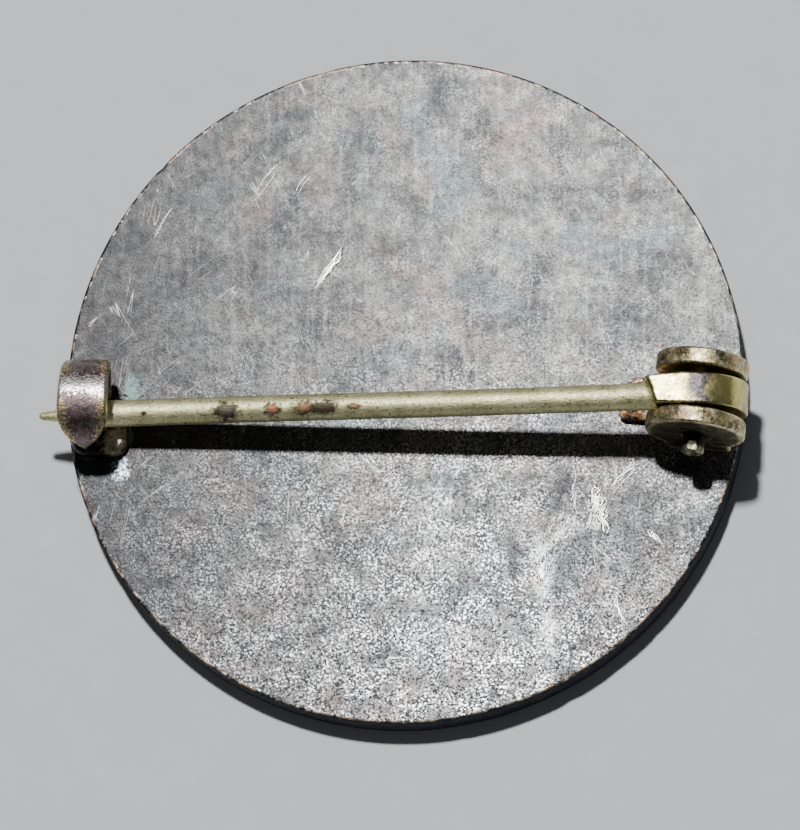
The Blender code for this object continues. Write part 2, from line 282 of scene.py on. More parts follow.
def scuffed(surface, colour):
    """Colour with the pale scuffs and the broken hairlines over it."""
    rubbed = surface.grain(0.13 * MM, 0.42, 0.54, detail=6, offset=37)
    rubbed = surface.times(rubbed, surface.grain(0.5 * MM, 0.4, 0.5, detail=6, offset=43))
    for (x, y), size, longer in SCUFFS:
        scuff = surface.near((x * MM, y * MM, BACK), size * MM, 0.7, stretch=(1, 1 / longer, 1))
        colour = surface.lay(colour, (1.0, 1.0, 1.0), scuff, rubbed)
    for turn, offset in HAIRLINES:
        wave = surface.grain(0.9 * MM, 0.0, 1.0, detail=1, stretch=(1, 0.04, 1), turn=turn, offset=offset)
        off_line = surface.math("ABSOLUTE", surface.math("SUBTRACT", wave, 0.5))
        broken = surface.grain(1.2 * MM, 0.52, 0.6, detail=6, offset=offset)
        hairline = surface.times(surface.spread(off_line, 0.0035, 0.0), broken)
        colour = surface.lay(colour, (0.6, 0.59, 0.57), hairline, 0.4)
    return colour


def stained(surface, colour):
    """Colour with the green stain and the smear of tin beside the catch over it. The tin's bright
    bluish-white is partly its own colour and partly a painted glint.
    """
    verdigris = surface.near(VERDIGRIS, 0.6 * MM, 0.7, stretch=(2.2, 0.8, 1), ragged=2.5)
    colour = surface.lay(colour, (0.13, 0.26, 0.23), verdigris, 0.4)
    tin = surface.near(TIN_SMEAR, 0.4 * MM, 0.5, stretch=(1, 0.7, 1), ragged=2.0)
    tin = surface.times(tin, surface.grain(0.15 * MM, 0.42, 0.56, detail=5, offset=19))
    # Bright bluish-white tin: partly the tin's own colour, partly a painted glint
    return surface.lay(colour, (0.7, 0.88, 1.0), tin)


def bare_edged(surface, colour):
    """Colour with brown worn copper, and pale copper inside it, along the marked edges."""
    edge = surface.mark("edge")
    worn = surface.times(edge, surface.grain(0.8 * MM, 0.42, 0.6, detail=7, offset=31))
    colour = surface.lay(colour, (0.46, 0.31, 0.23), surface.spread(worn, 0.25, 0.8))
    bare = surface.times(edge, surface.grain(0.4 * MM, 0.5, 0.65, detail=6, offset=41))
    return surface.lay(colour, (0.95, 0.8, 0.66), surface.spread(bare, 0.25, 0.7))


def oxidised_copper():
    """Dark grainy oxide with pale specks and hairlines, and bare copper along the edge."""
    surface = Surface("oxidised_copper", metallic=0.9)
    left = surface.spread(surface.along("X"), 3 * MM, -15 * MM, 0.0, 0.85)
    patch = surface.near(DARK_PATCH_CENTRE, 4.5 * MM, 0.7, ragged=0.6)
    glints = oxide_glints(surface, left, patch)
    colour = oxide_tones(surface, left, patch)
    colour = surface.lay(colour, (0.95, 0.96, 0.98), glints)
    colour = surface.lay(colour, (0.02, 0.021, 0.024), oxide_pits(surface))
    colour = scuffed(surface, colour)
    colour = stained(surface, colour)
    colour = bare_edged(surface, colour)
    dull = surface.spread(surface.grain(0.5 * MM, 0.3, 0.7, detail=6), 0, 1, 0.38, 0.49)
    roughness = surface.math("SUBTRACT", dull, surface.times(glints, 0.15))
    fine = surface.grain(0.11 * MM, 0.2, 0.8, detail=5, offset=11)
    broad = surface.grain(0.9 * MM, 0.2, 0.8, offset=17)
    height = surface.math("ADD", fine, surface.times(broad, 1.2))
    return surface.finish(colour, roughness, height, 0.011 * MM)


def wall_oxide_and_painted_shade():
    """Matt oxide on the side wall of the disc, painted nearly black and slate-blue: painted shade with a
    painted blue reflection.
    """
    surface = Surface("wall_oxide_and_painted_shade", metallic=0.0)
    surface.shader.inputs["Specular IOR Level"].default_value = 0.12
    mottle = surface.grain(0.8 * MM, 0.35, 0.65, detail=7)
    # Nearly black slate-blue: painted shade with a painted blue reflection
    colour = surface.mix(mottle, (0.006, 0.007, 0.014), (0.022, 0.024, 0.036))
    rubbed = surface.grain(0.3 * MM, 0.6, 0.7, detail=6, offset=5)
    colour = surface.lay(colour, (0.13, 0.11, 0.1), rubbed, 0.5)
    roughness = surface.spread(surface.grain(0.4 * MM), 0, 1, 0.6, 0.8)
    return surface.finish(colour, roughness, surface.grain(0.2 * MM, 0.2, 0.8, detail=6), 0.02 * MM)


def scratch_metal():
    """Bare, nearly white metal of a scratch."""
    surface = Surface("scratch_metal")
    tone = surface.grain(1.2 * MM, 0.4, 0.6)
    colour = surface.mix(tone, (0.75, 0.73, 0.7), (1.0, 0.99, 0.97))
    roughness = surface.spread(surface.grain(0.2 * MM), 0, 1, 0.3, 0.42)
    return surface.finish(colour, roughness, surface.grain(0.08 * MM), 0.004 * MM)


def worn_plating():
    """Dark purplish plating rubbed through to silver on the crown and to brass at the edges."""
    surface = Surface("worn_plating")
    tone = surface.grain(0.3 * MM, 0.35, 0.65, detail=6)
    dark = surface.mix(tone, (0.1, 0.068, 0.074), (0.27, 0.205, 0.21))
    tone = surface.grain(0.12 * MM, 0.35, 0.65, offset=4)
    gold = surface.mix(tone, (0.34, 0.24, 0.09), (0.8, 0.68, 0.4))
    tone = surface.grain(0.14 * MM, 0.35, 0.65, offset=8)
    silver = surface.mix(tone, (0.5, 0.44, 0.4), (0.95, 0.92, 0.86))
    ragged = surface.grain(0.13 * MM, 0.3, 0.7, detail=7, offset=2)
    off_crown = surface.math("ABSOLUTE", surface.math("SUBTRACT", surface.mark("along"), HOOK_CROWN))
    near_crown = surface.spread(off_crown, 0.015, 0.1, 1.0, 0.0)
    rubbed = surface.spread(surface.math("ADD", near_crown, ragged), 0.95, 1.3)
    golden = surface.spread(surface.math("ADD", surface.mark("across"), ragged), 1.15, 1.35)
    edge = surface.math("ADD", surface.mark("edge"), surface.times(ragged, 0.5))
    edge = surface.spread(edge, 0.95, 1.2)
    flecks = surface.grain(0.08 * MM, 0.62, 0.68, detail=4, offset=6)
    colour = surface.mix(flecks, dark, gold)
    colour = surface.lay(colour, gold, golden)
    colour = surface.lay(colour, silver, rubbed)
    colour = surface.lay(colour, (0.8, 0.74, 0.62), edge)
    roughness = surface.spread(surface.math("ADD", rubbed, flecks), 0, 1, 0.48, 0.3)
    height = surface.math("ADD", surface.grain(0.1 * MM, 0.3, 0.7, offset=3), rubbed)
    return surface.finish(colour, roughness, height, 0.008 * MM)


def mottled_brass(name, dark, middle, pale, bare_share=0.35):
    """Old brass: brown patches, olive metal and pale rubbed edges."""
    surface = Surface(name)
    colour = surface.mix(surface.grain(0.7 * MM, 0.4, 0.6, detail=7), dark, middle)
    rubbed = surface.grain(0.35 * MM, 0.52, 0.64, detail=6, offset=5)
    colour = surface.lay(colour, pale, rubbed, bare_share)
    worn = surface.times(surface.mark("edge"), surface.grain(0.5 * MM, 0.45, 0.62, offset=9))
    colour = surface.lay(colour, pale, worn, 0.6)
    specks = surface.grain(0.12 * MM, 0.41, 0.36, detail=2, offset=12)
    colour = surface.lay(colour, tuple(0.3 * part for part in dark), specks, 0.8)
    flecks = surface.grain(0.08 * MM, 0.58, 0.66, detail=3, offset=21)
    colour = surface.lay(colour, (1.0, 0.95, 0.75), flecks, 0.7)
    return surface, colour


def ear_brass():
    """Olive brass, pink and green in places, with the flat sides painted nearly black: painted shade."""
    tones = ((0.22, 0.165, 0.08), (0.68, 0.57, 0.27), (1.0, 0.94, 0.7))
    surface, colour = mottled_brass("ear_brass", *tones, bare_share=0.5)
    pink = surface.near(HINGE_CENTRE + Vector((-0.8, -1.4, 2.4)) * MM, 0.55 * MM)
    colour = surface.lay(colour, (0.45, 0.25, 0.26), pink, 0.4)
    green = surface.near(HINGE_CENTRE + Vector((0.9, 2.0, 2.2)) * MM, 0.6 * MM)
    colour = surface.lay(colour, (0.2, 0.25, 0.13), green, 0.5)
    # Painted shade: the flat sides are darkened nearly to black
    flat_side_painted_shade = surface.spread(surface.mark("side"), 0.4, 0.9)
    colour = surface.lay(colour, (0.04, 0.033, 0.025), flat_side_painted_shade, 0.75)
    roughness = surface.spread(surface.grain(0.4 * MM, offset=2), 0, 1, 0.34, 0.52)
    height = surface.grain(0.2 * MM, 0.2, 0.8, detail=6, offset=7)
    return surface.finish(colour, roughness, height, 0.02 * MM)


def knuckle_brass():
    """Yellow brass with a dark patch on top: rougher metal with a painted dark reflection."""
    tones = ((0.27, 0.21, 0.06), (0.52, 0.44, 0.17), (0.9, 0.83, 0.58))
    surface, colour = mottled_brass("knuckle_brass", *tones, bare_share=0.5)
    # Dark patch on top: a painted dark reflection, where the metal is also rougher
    satin = surface.near(HINGE_CENTRE + Vector((0.45, 0.1, 2.4)) * MM, 1.0 * MM, 0.3, ragged=0.6)
    tone = surface.grain(0.1 * MM, 0.4, 0.6, detail=6)
    lavender = surface.mix(tone, (0.04, 0.036, 0.04), (0.11, 0.1, 0.1))
    colour = surface.lay(colour, lavender, satin)
    olive = surface.near(HINGE_CENTRE + Vector((1.8, 0, 1.8)) * MM, 1.1 * MM)
    colour = surface.lay(colour, (0.95, 0.85, 0.3), olive, 0.75)
    roughness = surface.spread(satin, 0, 1, 0.3, 0.42)
    height = surface.grain(0.25 * MM, 0.2, 0.8, detail=6, offset=7)
    return surface.finish(colour, roughness, height, 0.014 * MM)


def nub_brass():
    """Catch base: pale brass at its open corner, and painted nearly black elsewhere: painted shade from the
    hook and the wire.
    """
    tones = ((0.42, 0.34, 0.21), (0.9, 0.76, 0.5), (1.0, 0.93, 0.75))
    surface, colour = mottled_brass("nub_brass", *tones, bare_share=0.5)
    # Away from the open corner the base is painted nearly black: painted shade under the hook and the wire
    corner = (CATCH_BASE_HIGH.x - 0.5 * MM, CATCH_BASE_LOW.y + 0.7 * MM, CATCH_LOW.z)
    rubbed = surface.near(corner, 1.0 * MM, 0.3)
    colour = surface.mix(rubbed, (0.03, 0.025, 0.022), colour)
    roughness = surface.spread(surface.grain(0.3 * MM), 0, 1, 0.32, 0.5)
    return surface.finish(colour, roughness, surface.grain(0.2 * MM), 0.015 * MM)


def base_brass():
    """Bracket base: brass under the ears, and a raw copper tongue with dark spots."""
    tones = ((0.13, 0.09, 0.05), (0.3, 0.22, 0.1), (0.6, 0.5, 0.3))
    surface, colour = mottled_brass("base_brass", *tones)
    tone = surface.grain(0.3 * MM, 0.4, 0.6, offset=3)
    copper = surface.mix(tone, (0.75, 0.33, 0.13), (1.0, 0.78, 0.56))
    spots = surface.grain(0.35 * MM, 0.42, 0.36, detail=5, offset=15)
    copper = surface.lay(copper, (0.1, 0.02, 0.015), spots)
    on_tongue = surface.spread(surface.along("X"), BRACKET_LOW.x + 2.4 * MM, BRACKET_LOW.x + 2.0 * MM)
    colour = surface.lay(colour, copper, on_tongue)
    roughness = surface.spread(surface.grain(0.3 * MM, offset=6), 0, 1, 0.32, 0.5)
    height = surface.grain(0.25 * MM, 0.2, 0.8, detail=6, offset=8)
    return surface.finish(colour, roughness, height, 0.03 * MM)


# Burnt spots on top of the wire: place along X and size in mm, a factor that makes a spot
# longer the smaller it is, and the colour of its centre
WIRE_SPOTS = (
    (-8.8, 0.62, 1.0, (0.2, 0.19, 0.14)),
    (-6.4, 0.46, 1.0, (0.7, 0.3, 0.17)),
    (-4.75, 0.46, 0.7, (0.5, 0.25, 0.14)),
    (-3.7, 0.42, 0.55, (0.12, 0.08, 0.055)),
    (-2.2, 0.2, 0.5, (0.6, 0.34, 0.17)),
    (-13.1, 0.16, 1.0, (0.08, 0.06, 0.04)),
)


def satin_wire_brass():
    """Khaki drawn brass with a lengthwise grain and a few dark spots along the top."""
    surface = Surface("satin_wire_brass")
    mottle = surface.grain(1.0 * MM, 0.35, 0.65, detail=7)
    colour = surface.mix(mottle, (0.6, 0.58, 0.28), (0.94, 0.91, 0.55))
    drawn = surface.grain(0.09 * MM, 0.35, 0.65, detail=6, stretch=(0.3, 1, 1), offset=2)
    colour = surface.lay(colour, (0.7, 0.66, 0.4), drawn, 0.45)
    # Bright specks: painted sparkle highlights
    sparkle_painted = surface.grain(0.1 * MM, 0.58, 0.68, detail=4, offset=4)
    colour = surface.lay(colour, (1.0, 0.99, 0.82), sparkle_painted, 0.9)
    pits = surface.grain(0.14 * MM, 0.4, 0.34, detail=4, offset=14)
    colour = surface.lay(colour, (0.05, 0.042, 0.02), pits, 0.7)
    roughness = surface.spread(drawn, 0, 1, 0.46, 0.62)
    for x, size, shortening, centre_colour in WIRE_SPOTS:
        top = wire_top(x * MM) + Vector((0, -0.15 * MM, 0))
        stretch = (shortening, 1.25, 0.5)
        spot = surface.near(top, size * MM, 0.28, stretch, ragged=1.8)
        centre = surface.near(top, 0.52 * size * MM, 0.45, stretch, ragged=2.2)
        colour = surface.lay(colour, (0.055, 0.047, 0.034), spot, 0.95)
        colour = surface.lay(colour, centre_colour, centre, 0.8)
        roughness = surface.math("MAXIMUM", roughness, surface.times(spot, 0.62))
    fine = surface.grain(0.12 * MM, 0.2, 0.8, offset=9)
    height = surface.math("ADD", surface.times(drawn, 0.6), fine)
    return surface.finish(colour, roughness, height, 0.008 * MM)


def rivet_metal():
    """Grey-green metal at the rivet's ends, and painted nearly black between them: painted shadow of the
    lower ear.
    """
    surface = Surface("rivet_metal")
    mottle = surface.grain(0.25 * MM, 0.4, 0.6, detail=6)
    colour = surface.mix(mottle, (0.13, 0.12, 0.075), (0.46, 0.44, 0.31))
    # Where the mark is 0 the metal is painted nearly black: painted shadow
    colour = surface.mix(surface.mark("bare"), (0.03, 0.026, 0.02), colour)
    roughness = surface.spread(surface.grain(0.2 * MM, offset=3), 0, 1, 0.35, 0.5)
    return surface.finish(colour, roughness, surface.grain(0.15 * MM, 0.2, 0.8, offset=6), 0.02 * MM)


def old_solder():
    """Tarnished tin: dark smears with bluish-white glints."""
    surface = Surface("old_solder", metallic=0.9)
    mottle = surface.grain(0.8 * MM, 0.4, 0.62, detail=7)
    colour = surface.mix(mottle, (0.12, 0.125, 0.13), (0.28, 0.3, 0.31))
    glint = surface.grain(0.5 * MM, 0.56, 0.64, detail=5, offset=6)
    colour = surface.lay(colour, (0.6, 0.68, 0.72), glint)
    roughness = surface.spread(glint, 0, 1, 0.55, 0.3)
    height = surface.grain(0.3 * MM, 0.2, 0.8, detail=6, offset=3)
    return surface.finish(colour, roughness, height, 0.04 * MM)


# ---------------------------------------------------------------- mesh helpers


def ripple(point, size, depth, seed=0):
    """Small signed offset that changes smoothly over distances of about this size."""
    return depth * noise.noise(point / size + Vector((seed, seed, seed)))


def skin(rings, marks=None, closed=False, shape=None):
    """Skin a row of point rings with equal counts. Marks hold named values for each point.

    The first and last rings are capped, or joined to each other if the skin is closed. The
    skin is added to a shape if one is given.
    """
    if shape is None:
        shape = bmesh.new()
    layers = {name: shape.verts.layers.float.new(name) for name in marks or {}}
    rows = []
    for i, ring in enumerate(rings):
        rows.append([shape.verts.new(point) for point in ring])
        for name, layer in layers.items():
            for k, vert in enumerate(rows[-1]):
                vert[layer] = marks[name][i][k]
    pairs = list(zip(rows, rows[1:]))
    if closed:
        pairs.append((rows[-1], rows[0]))
    else:
        shape.faces.new(rows[0][::-1])
        shape.faces.new(rows[-1])
    for near, far in pairs:
        for k in range(len(near)):
            after = (k + 1) % len(near)
            shape.faces.new((near[k], near[after], far[after], far[k]))
    return shape


def place(name, shape, material, body, slot, replaced=(), matrix=None):
    """Turn a bmesh into a smooth-shaded piece that rides on a CAD body."""
    if matrix is not None:
        shape.transform(matrix)
    bmesh.ops.recalc_face_normals(shape, faces=shape.faces)
    mesh = bpy.data.meshes.new(name)
    shape.to_mesh(mesh)
    shape.free()
    mesh.shade_smooth()
    mesh.materials.append(material)
    piece = bpy.data.objects.new(name, mesh)
    bpy.context.collection.objects.link(piece)
    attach(piece, body)
    if replaced:
        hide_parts(*replaced)
    return piece


def arc(centre, radius, start, end, steps):
    """Points on a circle from the start angle to the end angle, both included."""
    angles = [start + (end - start) * k / steps for k in range(steps + 1)]
    return [(centre[0] + radius * math.cos(a), centre[1] + radius * math.sin(a)) for a in angles]


def between(first, last, steps):
    """Points that divide a straight line into steps, both ends left out."""
    return [tuple(a + (b - a) * k / steps for a, b in zip(first, last)) for k in range(1, steps)]


def pillow(outline, low, high, edge, edge_steps=5, crown=0.0, hollow=False):
    """Rings of a plate with a round upper edge, or a hollow one as of a fillet, and a raised middle."""
    middle = Vector((sum(x for x, _ in outline), sum(y for _, y in outline))) / len(outline)
    reach = min((Vector(point) - middle).length for point in outline)
    turns = [QUARTER * k / edge_steps for k in range(edge_steps + 1)]
    if hollow:
        insets = [(edge * math.sin(a), low + (high - low) * (1 - math.cos(a))) for a in turns]
    else:
        insets = [(0, low)]
        insets += [(edge * (1 - math.cos(a)), high - edge * (1 - math.sin(a))) for a in turns]
    for share in (0.25, 0.5, 0.75):
        insets.append((edge + (reach - edge) * share, high + crown * math.sin(share * QUARTER)))
    rings = []
    for inset, z in insets:
        ring = []
        for x, y in outline:
            offset = Vector((x, y)) - middle
            shrunk = middle + offset * (1 - inset / reach)
            ring.append(Vector((*shrunk, z)))
        rings.append(ring)
    return rings


def dense(outline, spacing):
    """Add points to a closed outline so that none are further apart than spacing."""
    points = []
    for here, after in zip(outline, outline[1:] + outline[:1]):
        points.append(here)
        gap = math.dist(here, after)
        points += between(here, after, max(1, math.ceil(gap / spacing)))
    return points


def rounded_rectangle(low, high, corner, steps=8, side_steps=1):
    """Rectangle with rounded corners; each straight side is divided into side_steps."""
    centres = [
        (high[0] - corner, high[1] - corner),
        (low[0] + corner, high[1] - corner),
        (low[0] + corner, low[1] + corner),
        (high[0] - corner, low[1] + corner),
    ]
    corners = []
    for k, centre in enumerate(centres):
        corners.append(arc(centre, corner, k * QUARTER, (k + 1) * QUARTER, steps))
    points = []
    for here, after in zip(corners, corners[1:] + corners[:1]):
        points += here + between(here[-1], after[0], side_steps)
    return points


def turned_out(skew, lean):
    """Turn by the lean about X, and then by the skew about Z."""
    return Matrix.Rotation(skew, 4, "Z") @ Matrix.Rotation(lean, 4, "X")


def hinge_frame():
    """Placement of a piece drawn around the hinge, with Y along the rivet."""
    return Matrix.Translation(HINGE_CENTRE) @ turned_out(HINGE_SKEW, HINGE_LEAN)


def foot_frame():
    """Placement of a piece drawn flat under the feet of the ears."""
    ground = Matrix.Translation((HINGE_CENTRE.x, HINGE_CENTRE.y, 0))
    turn = Matrix.Rotation(HINGE_SKEW, 4, "Z")
    shift = Matrix.Translation((0, (HINGE_CENTRE.z - BACK) * math.sin(HINGE_LEAN), 0))
    return ground @ turn @ shift


# ---------------------------------------------------------------- badge


def disc_profile():
    """(radius, z, edge mark) from the middle of the back, over the edge, to the front."""
    inner = DISC_RADIUS - DISC_EDGE_ROUND
    back = [(INNERMOST, BACK, 0)]
    back += [(inner * share, BACK, 0) for share in (0.08, 0.2, 0.35, 0.5, 0.62, 0.74, 0.84, 0.92, 0.97)]
    back.append((inner - 0.1 * MM, BACK, 0))
    turn = arc((inner, BACK - DISC_EDGE_ROUND), DISC_EDGE_ROUND, QUARTER, 0, 6)
    back_edge = [(r, z, mark) for (r, z), mark in zip(turn, (0.5, 1, 1, 1, 1, 0.5, 0))]
    wall = [(DISC_RADIUS, BACK * share, 0) for share in (0.8, 0.6, 0.4, 0.2)]
    turn = arc((inner, DISC_EDGE_ROUND), DISC_EDGE_ROUND, 0, -QUARTER, 6)
    front_edge = [(r, z, 0.8) for r, z in turn]
    rim_end = DISC_RADIUS - RIM_WIDTH
    rim = [(rim_end + 3.5 * STEP_RUN, 0, 0.1), (rim_end + STEP_RUN, 0, 0.5), (rim_end, STEP_DROP, 0.9)]
    start = rim_end - FIELD_SLOPE
    end = BOSS_RADIUS + FIELD_SLOPE
    field = [(start, FIELD_DEPTH - STEP_RISE, 0), (start - STEP_RUN, FIELD_DEPTH, 0)]
    field += [(start + (end - start) * share, FIELD_DEPTH, 0) for share in (0.2, 0.4, 0.6, 0.8)]
    field += [(end + STEP_RUN, FIELD_DEPTH, 0), (end, FIELD_DEPTH - STEP_RISE, 0)]
    boss = [(BOSS_RADIUS, STEP_DROP, 0.9), (BOSS_RADIUS - STEP_RUN, 0, 0.5)]
    boss += [(BOSS_RADIUS * share, 0, 0) for share in (0.8, 0.5, 0.25)]
    boss.append((INNERMOST, 0, 0))
    return back + back_edge + wall + front_edge + rim + field + boss


def back_height(point):
    """Height of the slightly uneven back at a place on it."""
    return BACK + ripple(point, 5 * MM, 0.02 * MM, 3)


def worn_point(radius, z, out):
    """Point of the disc in this direction, nicked on the back edge and a little uneven elsewhere."""
    point = out * radius + Vector((0, 0, z))
    if radius > DISC_RADIUS - DISC_EDGE_ROUND - 0.01 * MM and z > BACK / 2:
        nick = max(0.0, ripple(out * DISC_RADIUS, 1.1 * MM, 0.12 * MM) - 0.035 * MM)
        point -= out * nick + Vector((0, 0, nick * 0.6))
    else:
        point += out * ripple(point, 4 * MM, 0.02 * MM)
    if radius < DISC_RADIUS - 0.4 * MM:
        point.z += back_height(Vector((point.x, point.y, 0))) - BACK
    return point


def badge_body(material, wall_material):
    """Turned disc, with a second material on its wall."""
    angles = [math.tau * k / DISC_SEGMENTS for k in range(DISC_SEGMENTS)]
    outs = [Vector((math.cos(angle), math.sin(angle), 0)) for angle in angles]
    profile = disc_profile()
    rings = [[worn_point(radius, z, out) for out in outs] for radius, z, _ in profile]
    shape = skin(rings, {"edge": [[edge] * DISC_SEGMENTS for _, _, edge in profile]})
    for face in shape.faces:
        middle = face.calc_center_median()
        if math.hypot(middle.x, middle.y) > DISC_RADIUS - 0.05 * MM:
            face.material_index = 1
    body = place("badge_body", shape, material, "badge", "badge_copper", ["badge_disc"])
    body.data.materials.append(wall_material)
    return body


# Groups of scratches on the back: middle in mm, heading and its spread in degrees, length
# and its spread in mm, how far the group reaches in mm, how many, and width in mm
SCRATCHES = (
    ((-3.95, 6.45), 53, 3, 2.6, 0.5, (0.06, 0.12), 6, 0.45),
    ((-7.25, 11.1), 54, 3, 3.0, 0.4, (0.06, 0.12), 2, 0.14),
    ((-5.3, 10.85), 62, 6, 1.8, 0.3, (0.12, 0.2), 2, 0.12),
    ((-12.55, 9.1), 60, 4, 2.0, 0.3, (0.06, 0.12), 2, 0.2),
    ((10.2, 5.6), -8, 3, 3.6, 0.8, (0.6, 0.12), 2, 0.05),
    ((9.9, -6.2), 95, 16, 1.2, 0.4, (0.22, 0.35), 10, 0.7),
    ((10.2, -7.0), 105, 6, 1.4, 0.3, (0.12, 0.2), 4, 0.55),
    ((9.5, -7.0), 72, 6, 1.2, 0.3, (0.1, 0.2), 2, 0.4),
    ((11.2, -4.9), 50, 4, 2.4, 0.3, (0.08, 0.2), 3, 0.32),
    ((10.8, -4.5), 92, 8, 1.5, 0.3, (0.1, 0.2), 2, 0.16),
    ((8.7, -5.8), 88, 8, 1.6, 0.5, (0.12, 0.5), 3, 0.28),
    ((7.9, -7.6), 45, 16, 0.8, 0.3, (0.6, 0.4), 9, 0.3),
    ((7.1, -9.8), 88, 7, 1.5, 0.5, (0.25, 1.2), 8, 0.26),
    ((7.3, -12.9), 86, 7, 1.4, 0.5, (0.2, 0.9), 6, 0.26),
    ((12.9, -8.3), -52, 8, 1.2, 0.4, (0.2, 0.3), 4, 0.35),
    ((11.0, -11.8), -66, 5, 2.2, 0.2, (0.06, 0.2), 3, 0.35),
    ((9.7, -8.9), -80, 6, 1.1, 0.3, (0.08, 0.4), 2, 0.2),
    ((10.3, -9.2), -50, 10, 0.8, 0.2, (0.2, 0.3), 3, 0.16),
    ((10.2, -10.4), -45, 40, 0.7, 0.3, (1.9, 1.9), 30, 0.1),
    ((2.0, -9.0), 85, 30, 0.8, 0.4, (9.0, 5.0), 30, 0.045),
    ((-2.0, 7.0), 80, 35, 0.9, 0.5, (11.0, 6.0), 16, 0.04),
)


def scratch_rings(rng, start, angle, long, wide, bend):
    """Rings of one scratch: two feet just inside the back and a low ridge between them."""
    steps = 8
    relief = 0.006 * MM
    limit = DISC_RADIUS - 0.3 * MM
    along = Vector((math.cos(angle), math.sin(angle)))
    across = Vector((-along.y, along.x))
    rings = []
    for k in range(steps + 1):
        share = k / steps
        swell = math.sin(math.pi * share)
        half = wide / 2 * (0.12 + 0.88 * swell) * rng.uniform(0.4, 1.2)
        sideways = bend * swell + rng.uniform(-0.3, 0.3) * wide
        spine = start + along * long * (share - 0.5) + across * sideways
        if spine.length > limit:
            spine *= limit / spine.length
        height = back_height(Vector((*spine, 0)))
        feet = [(*(spine + across * side), height - relief) for side in (half, -half)]
        rings.append([*feet, (*spine, height + relief)])
    return rings


def scratches(material):
    """Fine ridges of bare metal, each a thin closed wedge that tapers at both ends."""
    rng = random.Random(7)
    shape = bmesh.new()
    for (x, y), heading, turn, length, length_spread, reach, count, width in SCRATCHES:
        for _ in range(count):
            angle = math.radians(heading + rng.uniform(-turn, turn))
            long = max(0.3, length + rng.uniform(-length_spread, length_spread)) * MM
            wide = width * rng.uniform(0.4, 1.0) * MM
            bend = rng.uniform(-0.06, 0.06) * long
            x_shift = rng.uniform(-reach[0], reach[0])
            y_shift = rng.uniform(-reach[1], reach[1])
            start = Vector((x + x_shift, y + y_shift)) * MM
            skin(scratch_rings(rng, start, angle, long, wide, bend), shape=shape)
    return place("badge_scratches", shape, material, "badge", "badge_copper")


# ---------------------------------------------------------------- catch


def hook_width(angle):
    """Width of the strip along its curl: narrow root, full crown, leaf-shaped tip."""
    if angle < QUARTER:
        share = (angle - HOOK_START) / (QUARTER - HOOK_START)
        return HOOK_ROOT_WIDTH + (HOOK_WIDTH - HOOK_ROOT_WIDTH) * math.sin(share * QUARTER) ** 1.6
    to_tip = (HOOK_END - angle) / HOOK_TIP_TAPER
    if to_tip >= 1:
        return HOOK_WIDTH
    narrowest = 0.1
    return HOOK_WIDTH * max(narrowest, 1 - (1 - to_tip) ** 1.5)


def hook_section(half, low, high, corner, steps=4):
    """Rounded cross-section of the strip as (x, radius, edge mark, across mark)."""
    corner = min(corner, half * 0.9, (high - low) * 0.45)
    section = []
    for x, r in rounded_rectangle((-half, low), (half, high), corner, steps, side_steps=8):
        on_edge = 1 - min(1, (half - abs(x)) / (0.16 * MM))
        section.append((x, r, on_edge, abs(x) / half))
    return section


def hook_strip(material):
    """Slightly skewed strip that curls over the pin and thins towards its tip."""
    steps = 110
    thinning = 0.35
    skew = 0.08
    sway = 0.07 * MM
    rings = []
    marks = {"edge": [], "across": [], "along": []}
    for k in range(steps + 1):
        share = k / steps
        angle = HOOK_START + (HOOK_END - HOOK_START) * share
        thickness = HOOK_STRIP * (1 - thinning * max(0, share - 0.75) / 0.25)
        section = hook_section(hook_width(angle) / 2, HOOK_RADIUS - thickness, HOOK_RADIUS, 0.2 * MM)
        ring = []
        for x, radius, *_ in section:
            skewed = angle + x / HOOK_RADIUS * skew
            point = Vector((x, radius * math.cos(skewed), radius * math.sin(skewed)))
            point.x += sway * math.sin(angle * 1.3 + 0.6)
            point += point.normalized() * ripple(point, 0.9 * MM, 0.02 * MM, 5)
            ring.append(point)
        rings.append(ring)
        marks["edge"].append([edge for _, _, edge, _ in section])
        marks["across"].append([across for _, _, _, across in section])
        marks["along"].append([share] * len(section))
    shape = skin(rings, marks)
    matrix = Matrix.Translation(HOOK_CENTRE)
    return place("hook_strip", shape, material, "badge", "catch_plating", ["catch"], matrix)


def hook_base(material):
    """Thick pillow-shaped base, rounded over at the top."""
    outline = dense(rounded_rectangle(CATCH_BASE_LOW, CATCH_BASE_HIGH, CATCH_BASE_CORNER), 0.25 * MM)
    low = CATCH_LOW.z
    high = low + CATCH_BASE_THICKNESS - 0.02 * MM
    rings = pillow(outline, low, high, edge=0.42 * MM, edge_steps=7, crown=0.04 * MM)
    for ring in rings:
        for point in ring:
            point.z += ripple(point, 0.8 * MM, 0.03 * MM, 9)
    marks = [[min(1, k / 4)] * len(ring) for k, ring in enumerate(rings)]
    return place("hook_base", skin(rings, {"edge": marks}), material, "badge", "catch_plating", ["catch"])


def solder_bed(name, outline, node, material, matrix=None):
    """Smear of solder that swells up around the foot of a bracket, with a ragged border."""
    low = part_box(node)[0].z - 0.04 * MM
    outline = dense(outline, 0.2 * MM)
    rings = pillow(outline, low, low + 0.2 * MM, edge=0.4 * MM, edge_steps=6, hollow=True)
    for ring in rings:
        for point in ring:
            out = Vector((point.x, point.y, 0)).normalized()
            point += out * ripple(point, 0.7 * MM, 0.16 * MM, 2)
            point.z += max(-0.02 * MM, ripple(point, 0.6 * MM, 0.06 * MM, 4))
    return place(name, skin(rings), material, "badge", "solder_tin", [node], matrix)


# ---------------------------------------------------------------- hinge


